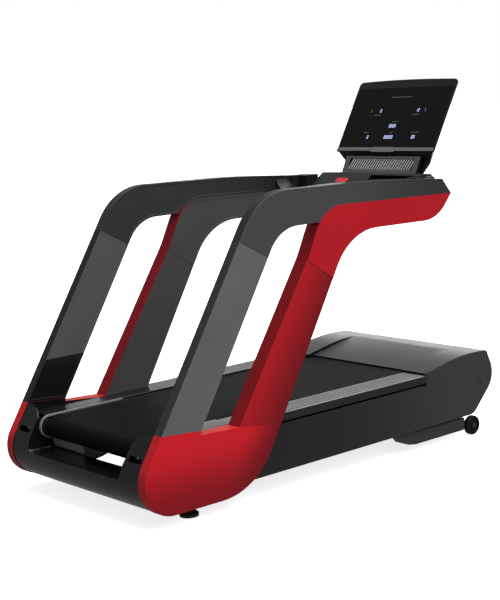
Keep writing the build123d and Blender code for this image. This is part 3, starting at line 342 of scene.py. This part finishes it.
# ---- Handrail frames ----
OUTER, PANEL, RIM, GLOSS, SEAM = range(5)
ON_PLANE = 1e-5          # a corner this close to the outer plane lies on it
SEAM_REACH = 0.0015      # a wall this close to the next moulding faces it across a seam
ROUNDING = 0.0085        # rounding of the outer edge; other edges have a share of it
INNER_SHARE, SEAM_SHARE = 0.45, 0.12
PANEL_MARGIN = 0.009     # from the rim to the groove round the inner panel
GROOVE = 0.0012
GLOSS_TOP = 0.498        # top of the glossy foot panel inside each rear leg
# The two bends between which a moulding's inner face steps inboard, from the rear
BASE_STEP = (0.280, 0.400)
ARM_STEP = (0.850, 0.960)
STRAIGHT = (0.0, 0.001)  # a front moulding is inboard all along


def rim_pairs(mesh, x):
    """How many faces on a plane across the machine use each edge, as a pair of (y, z) points."""
    uses = {}
    for polygon in mesh.polygons:
        corners = [mesh.vertices[i].co for i in polygon.vertices]
        if any(abs(c.x - x) > ON_PLANE for c in corners):
            continue
        keys = [(round(c.y, 5), round(c.z, 5)) for c in corners]
        for pair in zip(keys, keys[1:] + keys[:1]):
            uses[frozenset(pair)] = uses.get(frozenset(pair), 0) + 1
    return uses


def outer_outline(node, side):
    """The edge of a handrail moulding's outer face, as (y, z) points in order."""
    links = {}
    for pair, count in rim_pairs(NODES[node].data, side * HALF_WIDTH).items():
        if count == 1 and len(pair) == 2:
            first, second = pair
            links.setdefault(first, []).append(second)
            links.setdefault(second, []).append(first)
    outline = [min(links)]
    ahead = links[outline[0]][0]
    while ahead != outline[0]:
        behind = outline[-1]
        outline.append(ahead)
        ahead = [p for p in links[ahead] if p != behind][0]
    return outline


def gap_to(point, outline):
    """The shortest distance from a point to an outline."""
    best = float("inf")
    for (ay, az), (by, bz) in zip(outline, outline[1:] + outline[:1]):
        dy, dz = by - ay, bz - az
        share = ((point[0] - ay) * dy + (point[1] - az) * dz) / (dy * dy + dz * dz)
        share = max(0.0, min(1.0, share))
        best = min(best, hypot(point[0] - ay - share * dy, point[1] - az - share * dz))
    return best


def wall_inner(y, bends):
    """X of the inner face at a distance from the rear; it steps inboard between the two bends."""
    share = max(0.0, min(1.0, (y - bends[0]) / (bends[1] - bends[0])))
    return THIN_INNER + share * (THICK_INNER - THIN_INNER)


def closed_form(outline, side, neighbours):
    """A slab on an outline, with its outer face, inner panel, rim and seam walls marked."""
    work = bmesh.new()
    outer = [work.verts.new((side * HALF_WIDTH, y, z)) for y, z in outline]
    inner = [work.verts.new((side * THICK_INNER, y, z)) for y, z in outline]
    work.faces.new(outer).material_index = OUTER
    work.faces.new(inner[::-1]).material_index = PANEL
    for k in range(len(outline)):
        near = (k + 1) % len(outline)
        wall = work.faces.new((outer[k], inner[k], inner[near], outer[near]))
        middle = [(a + b) / 2 for a, b in zip(outline[k], outline[near])]
        facing = any(gap_to(middle, other) < SEAM_REACH for other in neighbours)
        wall.material_index = SEAM if facing else RIM
    return work


def step_inner_face(work, side, bends):
    """Thin the slab behind the bends, between which its inner face steps inboard."""
    for cut in bends:
        everything = work.verts[:] + work.edges[:] + work.faces[:]
        bmesh.ops.bisect_plane(work, geom=everything, plane_co=(0, REAR + cut, 0), plane_no=(0, 1, 0))
    for vert in work.verts:
        if abs(vert.co.x - side * THICK_INNER) < SAME_POINT:
            vert.co.x = side * wall_inner(vert.co.y - REAR, bends)
    bmesh.ops.recalc_face_normals(work, faces=work.faces)


def weigh_edges(work):
    """Say how round each kind of edge gets."""
    weight = work.edges.layers.float.new("bevel_weight_edge")
    for edge in work.edges:
        kinds = sorted(face.material_index for face in edge.link_faces)
        if kinds == [OUTER, RIM]:
            edge[weight] = 1.0
        elif kinds == [PANEL, RIM] or (kinds == [RIM, RIM] and edge.calc_face_angle(0) > radians(SHARP)):
            edge[weight] = INNER_SHARE
        elif SEAM in kinds and kinds != [SEAM, SEAM]:
            edge[weight] = SEAM_SHARE


def groove_panel(work):
    """Cut a narrow groove round the inner panel."""
    panel = [f for f in work.faces if f.material_index == PANEL]
    bmesh.ops.inset_region(work, faces=panel, thickness=PANEL_MARGIN, use_even_offset=True)
    bmesh.ops.inset_region(work, faces=panel, thickness=GROOVE, depth=-GROOVE, use_even_offset=True)


def gloss_foot(work, top):
    """Mark the inner panel below a height as glossy."""
    panel = [f for f in work.faces if f.material_index == PANEL]
    around = list({e for f in panel for e in f.edges}) + list({v for f in panel for v in f.verts})
    bmesh.ops.bisect_plane(work, geom=panel + around, plane_co=(0, 0, top), plane_no=(0, 0, 1))
    for face in work.faces:
        if face.material_index == PANEL and face.calc_center_median().z < top:
            face.material_index = GLOSS


def handrail_piece(node, side, bends, materials, neighbours, hidden, gloss_top):
    """One handrail moulding, with materials for its outer face, panel, rim and glossy foot."""
    work = closed_form(outer_outline(node, side), side, neighbours)
    step_inner_face(work, side, bends)
    weigh_edges(work)
    groove_panel(work)
    if gloss_top:
        gloss_foot(work, gloss_top)
    for face in work.faces:
        if face.material_index == SEAM:
            face.material_index = PANEL if abs(face.calc_center_median().x) < THIN_INNER else RIM
    mesh = bpy.data.meshes.new(node + "_form")
    work.to_mesh(mesh)
    work.free()
    smooth(mesh)
    piece = add_object(node + "_form", mesh, materials, "frame")
    bevel(piece, ROUNDING, 4, by_weight=True)
    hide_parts(node, *hidden)


def build_handrails():
    """Every moulding of both handrails: bends, materials, hidden liners and the glossy foot's top."""
    plan = {
        "base_shell": (BASE_STEP, ["red_base", "cover", "red_rim"], [], None),
        "rear_leg": (ARM_STEP, ["leg_grey", "leg_liner", "leg_rim", "leg_gloss"], [], GLOSS_TOP),
        "arm_cover": (ARM_STEP, ["arm_grey", "arm_liner", "arm_rim"], ["arm_liner"], None),
        "front_leg": (STRAIGHT, ["red_leg", "front_liner", "red_shade"], [], None),
        "arm_skirt": (STRAIGHT, ["red_arm", "front_liner", "red_shade"], ["leg_liner"], None),
    }
    for name, side in SIDES.items():
        outlines = {part: outer_outline(f"{part}_{name}", side) for part in plan}
        for part, (bends, materials, liners, gloss_top) in plan.items():
            neighbours = [outlines[other] for other in plan if other != part]
            hidden = [f"{liner}_{name}" for liner in liners]
            handrail_piece(f"{part}_{name}", side, bends, materials, neighbours, hidden, gloss_top)


# ---- Small fixed pieces that the CAD nodes leave out ----
# Seams across the legs, from the rear edge to the front edge
SEAMS = {"rear": ((0.490, 0.980), (0.623, 0.907)), "front": ((0.812, 0.874), (0.947, 0.783))}
SEAM_WIDE = 0.0026
SEAM_SHORT = 0.004       # each line stops short of the leg's rounded edges
SEAM_PROUD = 0.0002
SEAM_SUNK = 0.003

SLOT_MIDDLE = 0.365      # the rear cover's slots, from the middle of the machine
SLOT_BACK_SHIFT = -0.003
SLOT_BACK_HALF = 0.046
SLOT_BACK_HEIGHTS = (0.232, 0.274)
SLOT_BACK_DEPTHS = (0.054, 0.057)        # its rear and front face

WALL_OUTER = THICK_INNER - 0.0005        # just clear of the arm's inner face
WALL_INNER = 0.302
WALL_REAR, WALL_FRONT = 1.530, 1.600
WALL_SWEEP = 0.055                       # radius of the sweep into the arm
WALL_HEIGHTS = (1.030, 1.116)
WALL_ROUNDING = 0.003

GRILLE_FOOT = (1.671, 1.1186)            # lower edge of the air outlet's face
GRILLE_UP = (0.0, 0.450, 0.893)
GRILLE_NORMAL = (0.0, -0.893, 0.450)
SLATS = 26
SLAT_PITCH = 0.0146
SLAT_HALF_WIDE = 0.0023
SLAT_HALF_HIGH = 0.026
SLAT_LEAN = 0.011        # how far a slat's ends stand to each side of its middle
SLAT_MIDDLE = 0.0418     # up the grille's face
SLAT_DEPTHS = (0.0048, 0.0025)           # a slat's back and front, behind the face


def add_prism(name, low, high, material):
    """A prism between two rings of corners, listed in the same order."""
    work = bmesh.new()
    base = [work.verts.new(corner) for corner in low]
    top = [work.verts.new(corner) for corner in high]
    work.faces.new(base)
    work.faces.new(top)
    for k in range(len(base)):
        near = (k + 1) % len(base)
        work.faces.new((base[k], base[near], top[near], top[k]))
    bmesh.ops.recalc_face_normals(work, faces=work.faces)
    mesh = bpy.data.meshes.new(name)
    work.to_mesh(mesh)
    work.free()
    smooth(mesh)
    return add_object(name, mesh, [material], "frame")


def seam_ring(first, last):
    """The four (y, z) corners of a seam line."""
    run, rise = last[0] - first[0], last[1] - first[1]
    length = hypot(run, rise)
    ahead = (run / length, rise / length)
    ends = [(first, SEAM_SHORT), (last, -SEAM_SHORT)]
    for sign in (-1, 1):
        for (y, z), inset in ends[::sign]:
            across = sign * SEAM_WIDE / 2
            yield (REAR + y + ahead[0] * inset - ahead[1] * across, z + ahead[1] * inset + ahead[0] * across)


def build_seams():
    """A dark line where two handrail mouldings meet, on the outer face."""
    for name, side in SIDES.items():
        for place, (first, last) in SEAMS.items():
            ring = list(seam_ring(first, last))
            low = [(side * (HALF_WIDTH - SEAM_SUNK), y, z) for y, z in ring]
            high = [(side * (HALF_WIDTH + SEAM_PROUD), y, z) for y, z in ring]
            add_prism(f"{place}_seam_{name}", low, high, "socket")


def build_slot_backs():
    """Dark plates behind the two slots of the rear cover."""
    bottom, top = SLOT_BACK_HEIGHTS
    for name, side in SIDES.items():
        middle = side * SLOT_MIDDLE + SLOT_BACK_SHIFT
        left, right = middle - SLOT_BACK_HALF, middle + SLOT_BACK_HALF
        ring = [(left, bottom), (right, bottom), (right, top), (left, top)]
        low, high = ([(x, REAR + depth, z) for x, z in ring] for depth in SLOT_BACK_DEPTHS)
        add_prism(f"slot_back_{name}", low, high, "socket")


def build_bridge_walls():
    """The wall on each side of the console, swept round into the arm."""
    plan = [(WALL_OUTER, WALL_FRONT), (WALL_INNER, WALL_FRONT), (WALL_INNER, WALL_REAR)]
    for turn in range(0, 91, 15):
        plan.append((WALL_OUTER - WALL_SWEEP + WALL_SWEEP * sin(radians(turn)),
                     WALL_REAR - WALL_SWEEP + WALL_SWEEP * cos(radians(turn))))
    for name, side in SIDES.items():
        low, high = ([(side * x, REAR + y, z) for x, y in plan] for z in WALL_HEIGHTS)
        piece = add_prism(f"console_wall_{name}", low, high, "case")
        bevel(piece, WALL_ROUNDING)


def build_slats():
    """The air outlet's leaning slats, just in front of the CAD's own."""
    up, out = Vector(GRILLE_UP), Vector(GRILLE_NORMAL)
    middle = Vector((0.0, REAR + GRILLE_FOOT[0], GRILLE_FOOT[1])) + SLAT_MIDDLE * up
    for k in range(SLATS):
        x = (k - (SLATS - 1) / 2) * SLAT_PITCH
        bottom, top = x - SLAT_LEAN, x + SLAT_LEAN
        ring = [(bottom - SLAT_HALF_WIDE, -SLAT_HALF_HIGH), (bottom + SLAT_HALF_WIDE, -SLAT_HALF_HIGH),
                (top + SLAT_HALF_WIDE, SLAT_HALF_HIGH), (top - SLAT_HALF_WIDE, SLAT_HALF_HIGH)]
        low, high = ([middle + Vector((a, 0, 0)) + b * up - depth * out for a, b in ring]
                     for depth in SLAT_DEPTHS)
        add_prism(f"vent_slat_{k + 1:02d}", low, high, "slat")


# ---- CAD nodes that keep their shape ----
UPWARD = 0.9             # the upward share of a normal, above which a face counts as a top
TOP_DEPTH = 0.001
LEVEL, STEEP = 0.1, 0.7  # shares of a normal that part the hood's top from its other faces


def lies(direction, depth):
    """Picks 0 on faces within a depth of a node's furthest point along a direction, and 1 below."""
    def choose_for(node):
        furthest = max(Vector(direction).dot(v.co) for v in NODES[node].data.vertices)
        return lambda centre, normal: 0 if furthest - Vector(direction).dot(centre) < depth else 1
    return choose_for


def flat_tops(node):
    """0 on the highest upward faces, 1 elsewhere."""
    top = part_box(node)[1][2]
    return lambda centre, normal: 0 if normal.z > UPWARD and top - centre.z < TOP_DEPTH else 1


def hood_faces(node):
    """0 on the hood's top, 1 on its underside and its edges, which take painted shade."""
    return lambda centre, normal: int(normal.z < LEVEL or normal.y < -STEEP or abs(normal.x) > STEEP)


BEZEL_NORMAL = (0.0, -0.863, 0.505)
TRAY_NORMAL = (0.0, -0.574, 0.819)
FRONT_DEPTH = 0.0035     # faces this close to a piece's front have the front's material
GRILLE_DEPTH = 0.001     # the grille's openings are deeper than this, and their faces take painted shade
# For each kind of node: its materials, the rounding of its edges, and what chooses between the materials
SOFTENED = {
    "rear_cover": (["cover"], 0.0025, None),
    "motor_hood": (["hood", "hood_painted_shade"], 0.0003, hood_faces),
    "front_cover": (["panel"], 0.0012, None),
    "console_bridge": (["console"], 0.004, None),
    "console_tray": (["console"], 0.0015, None),
    "console_housing": (["case"], 0.0014, None),
    "console_bezel": (["plate", "bezel"], 0.001, lies(BEZEL_NORMAL, FRONT_DEPTH)),
    "stop_button": (["stop"], 0.002, None),
    # the tray's inside, below its front faces, takes the darker cover colour as painted shade
    "accessory_tray": (["console", "cover"], 0.0012, lies(TRAY_NORMAL, FRONT_DEPTH)),
    "side_panel": (["panel"], 0.0012, None),
    "rail_end": (["rail_end"], 0.0020, None),
    "foot_rail": (["rail_ridge", "rail"], 0.0007, flat_tops),
    "vent_grille": (["grille", "hood_painted_shade"], 0.0006, lies(GRILLE_NORMAL, GRILLE_DEPTH)),
    "transport_wheel": (["tread"], 0.001, None),
    "levelling_foot": (["rubber"], 0.002, None),
    "roller_guard": (["trim"], 0.0015, None),
    "lift_frame": (["lift_paint"], 0.0015, None),
}
# Kinds of node that only get a material
PAINTED = {
    "running_belt": "belt", "display_glass": "glass",
    "frame_rails": "powder_coat", "cross_members": "powder_coat", "motor_tray": "powder_coat",
    "handrail_frames": "powder_coat", "deck_board": "phenolic", "deck_cushions": "rubber",
    "rear_roller": "steel", "front_roller": "steel", "roller_axles": "steel", "roller_bearings": "steel",
    "tension_bolts": "steel", "drive_motor": "enamel", "motor_rotor": "steel", "drive_belt": "rubber",
    "control_unit": "aluminium", "pivot_bushes": "rubber", "incline_screw": "steel",
    "incline_motor": "enamel", "power_inlet": "socket", "power_switch": "socket", "hood_screws": "steel",
}


def family(node):
    """A node's name without its side."""
    for ending in ("_left", "_right"):
        node = node.removesuffix(ending)
    return node


def finish_nodes():
    """Give each CAD node rounded edges or a material, by its kind."""
    for node, thing in NODES.items():
        kind = family(node)
        if kind in SOFTENED:
            materials, width, chooser = SOFTENED[kind]
            soften(node, materials, width, chooser and chooser(node))
        elif kind in PAINTED:
            thing.data.materials.clear()
            thing.data.materials.append(MATERIALS[PAINTED[kind]])


# ---- Marks on the display ----
DISPLAY_TILT = radians(30.3)
DIGIT_WIDE = 0.0080
DIGIT_TALL = 0.0165
DIGIT_STEP = 0.0108
STROKE = 0.0026
MARK_THICK = 0.0004
CORNER_CUT = 0.3         # cut corners, as a share of a bar's smaller side
CAPTION_TALL = 0.0035
GLASS_THICK = 0.003
# Seven segments: the middle of each stroke as a share of the digit's half size, and whether it is upright
SEGMENTS = {"a": (0, 1, False), "b": (1, 0.5, True), "c": (1, -0.5, True), "d": (0, -1, False),
            "e": (-1, -0.5, True), "f": (-1, 0.5, True), "g": (0, 0, False)}
FIGURES = {"0": "abcdef", "1": "bc", "2": "abged", "5": "afgcd", "8": "abcdefg"}
# Figures shown, with their middle across and above the glass's lower edge, in metres
READOUTS = [
    ("0", -0.100, 0.179, "digit"), ("5", -0.158, 0.180, "digit_dim"),
    ("12", 0.120, 0.180, "digit"), ("8", 0.164, 0.180, "digit_dim"),
    ("0000", 0.000, 0.105, "digit"),
    ("0", -0.128, 0.051, "digit"), ("00000", -0.002, 0.051, "digit"), ("00", 0.145, 0.051, "digit"),
]
# Plain bars where captions would stand: middle across, above the edge, and width
CAPTIONS = [
    (-0.003, 0.245, 0.120), (-0.115, 0.158, 0.038), (0.115, 0.159, 0.040), (0.008, 0.125, 0.036),
    (-0.144, 0.073, 0.032), (0.006, 0.073, 0.020), (0.146, 0.073, 0.048),
]


def glass_frame():
    """The glass's lower front edge, with its upward and outward directions."""
    low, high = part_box("display_glass")
    up = Vector((0.0, sin(DISPLAY_TILT), cos(DISPLAY_TILT)))
    out = Vector((0.0, -cos(DISPLAY_TILT), sin(DISPLAY_TILT)))
    foot = Vector(((low[0] + high[0]) / 2, low[1], low[2] + GLASS_THICK * sin(DISPLAY_TILT)))
    return foot, up, out


def add_bar(work, across, above, wide, tall):
    """A low bar on the glass, with its corners cut."""
    foot, up, out = glass_frame()
    cut = min(wide, tall) * CORNER_CUT
    corners = [(-wide / 2 + cut, -tall / 2), (wide / 2 - cut, -tall / 2), (wide / 2, -tall / 2 + cut),
               (wide / 2, tall / 2 - cut), (wide / 2 - cut, tall / 2), (-wide / 2 + cut, tall / 2),
               (-wide / 2, tall / 2 - cut), (-wide / 2, -tall / 2 + cut)]
    rings = []
    for lift in (0.0, MARK_THICK):
        rings.append([work.verts.new(foot + Vector((across + x, 0, 0)) + (above + y) * up + lift * out)
                      for x, y in corners])
    base, top = rings
    work.faces.new(top)
    work.faces.new(base[::-1])
    for k in range(len(corners)):
        near = (k + 1) % len(corners)
        work.faces.new((base[k], base[near], top[near], top[k]))


def add_marks(name, material, bars):
    """One piece made of bars on the glass."""
    work = bmesh.new()
    for bar in bars:
        add_bar(work, *bar)
    mesh = bpy.data.meshes.new(name)
    work.to_mesh(mesh)
    work.free()
    add_object(name, mesh, [material], body_of("display_glass"))


def figure_bars(figure, across, above):
    """The lit strokes of one figure."""
    for segment in FIGURES[figure]:
        side, height, upright = SEGMENTS[segment]
        wide, tall = (STROKE, DIGIT_TALL / 2 - STROKE) if upright else (DIGIT_WIDE - STROKE, STROKE)
        reach = (DIGIT_TALL - STROKE) / 2
        yield across + side * (DIGIT_WIDE - STROKE) / 2, above + height * reach, wide, tall


def build_display():
    """The figures and caption bars on the display."""
    for k, (text, across, above, material) in enumerate(READOUTS):
        bars = []
        for place, figure in enumerate(text):
            bars += figure_bars(figure, across + (place - (len(text) - 1) / 2) * DIGIT_STEP, above)
        add_marks(f"readout_{k + 1}", material, bars)
    add_marks("caption_bars", "print", [(*caption, CAPTION_TALL) for caption in CAPTIONS])


# ---- Stage ----
STUDIO_LIGHT = 0.26      # the world's strength on the machine; the camera sees plain white
SUN_LIGHT = 3.1
SUN_SPREAD = 70          # degrees across, for soft shade
SUN_TILT = (-14, 8, 0)   # degrees
FLOOR_REACH = 40.0
FLOOR_WHITE = 0.95
FLOOR_GLOW = 0.8         # keeps the machine's shadow faint
# Soft boxes: place, width, height, power, and the point that each faces
LIGHTS = {
    "near_side": ((4.4, -0.6, 3.0), 2.4, 2.4, 55, (0.0, 0.0, 0.6)),
    "beyond": ((-3.0, 3.1, 0.95), 4.0, 0.9, 16, (0.0, 0.8, 0.36)),
}


def floor_material():
    """A plain white studio floor."""
    material = bpy.data.materials.new("floor_white")
    material.use_nodes = True
    shader = material.node_tree.nodes["Principled BSDF"]
    shader.inputs["Base Color"].default_value = (FLOOR_WHITE, FLOOR_WHITE, FLOOR_WHITE, 1.0)
    shader.inputs["Emission Color"].default_value = (1.0, 1.0, 1.0, 1.0)
    shader.inputs["Emission Strength"].default_value = FLOOR_GLOW
    shader.inputs["Roughness"].default_value = 1.0
    shader.inputs["Specular IOR Level"].default_value = 0.0
    return material


def add_light(name, place, wide, tall, power, target):
    """A soft box that faces a point and is only seen by what it lights."""
    data = bpy.data.lights.new(name, "AREA")
    data.shape = "RECTANGLE"
    data.size = wide
    data.size_y = tall
    data.energy = power
    light = bpy.data.objects.new(name, data)
    light.location = place
    light.rotation_euler = (Vector(target) - Vector(place)).to_track_quat("-Z", "Y").to_euler()
    light.visible_camera = False
    bpy.context.scene.collection.objects.link(light)


def build_floor():
    """A wide floor that only the camera sees."""
    mesh = bpy.data.meshes.new("floor")
    corners = [(-FLOOR_REACH, -FLOOR_REACH, 0), (FLOOR_REACH, -FLOOR_REACH, 0),
               (FLOOR_REACH, FLOOR_REACH, 0), (-FLOOR_REACH, FLOOR_REACH, 0)]
    mesh.from_pydata(corners, [], [(0, 1, 2, 3)])
    floor = bpy.data.objects.new("floor", mesh)
    bpy.context.scene.collection.objects.link(floor)
    mesh.materials.append(floor_material())
    floor.visible_diffuse = False
    floor.visible_glossy = False
    floor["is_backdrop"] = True


def build_world():
    """An even white surround, dimmer on the machine than in the picture."""
    world = bpy.data.worlds.new("studio")
    bpy.context.scene.world = world
    world.use_nodes = True
    tree = world.node_tree
    background = tree.nodes["Background"]
    background.inputs["Color"].default_value = (1.0, 1.0, 1.0, 1.0)
    seen = tree.nodes.new("ShaderNodeLightPath").outputs["Is Camera Ray"]
    strength = tree.nodes.new("ShaderNodeMapRange")
    strength.inputs["To Min"].default_value = STUDIO_LIGHT
    strength.inputs["To Max"].default_value = 1.0
    tree.links.new(seen, strength.inputs["Value"])
    tree.links.new(strength.outputs["Result"], background.inputs["Strength"])


def build_stage():
    """The floor, the surround, the soft boxes and the light from above."""
    build_floor()
    build_world()
    for name, settings in LIGHTS.items():
        add_light(name, *settings)
    data = bpy.data.lights.new("overhead", "SUN")
    data.energy = SUN_LIGHT
    data.angle = radians(SUN_SPREAD)
    overhead = bpy.data.objects.new("overhead", data)
    overhead.rotation_euler = [radians(turn) for turn in SUN_TILT]
    bpy.context.scene.collection.objects.link(overhead)


CAMERA_PLACE = (4.354, REAR - 2.742, 1.563)
CAMERA_TURN = (0.873, 0.156, -0.056)     # yaw, pitch down and roll, in radians
CAMERA_SENSOR, CAMERA_LENS = 36.0, 85.23
CAMERA_FAR = 100.0


def build_camera():
    """The photograph's viewpoint."""
    yaw, pitch, roll = CAMERA_TURN
    look = Vector((-sin(yaw) * cos(pitch), cos(yaw) * cos(pitch), -sin(pitch)))
    level = Vector((cos(yaw), sin(yaw), 0.0))
    upright = level.cross(look)
    right = cos(roll) * level + sin(roll) * upright
    up = cos(roll) * upright - sin(roll) * level
    turn = Matrix((right, up, -look)).transposed().to_4x4()
    data = bpy.data.cameras.new("camera")
    data.sensor_width = CAMERA_SENSOR
    data.lens = CAMERA_LENS
    data.clip_end = CAMERA_FAR
    camera = bpy.data.objects.new("camera", data)
    camera.matrix_world = Matrix.Translation(CAMERA_PLACE) @ turn
    bpy.context.scene.collection.objects.link(camera)
    bpy.context.scene.camera = camera


def main():
    """Build everything."""
    build_handrails()
    finish_nodes()
    build_seams()
    build_slot_backs()
    build_bridge_walls()
    build_slats()
    build_display()
    build_stage()
    build_camera()
    bpy.context.scene.view_settings.view_transform = "Standard"


main()
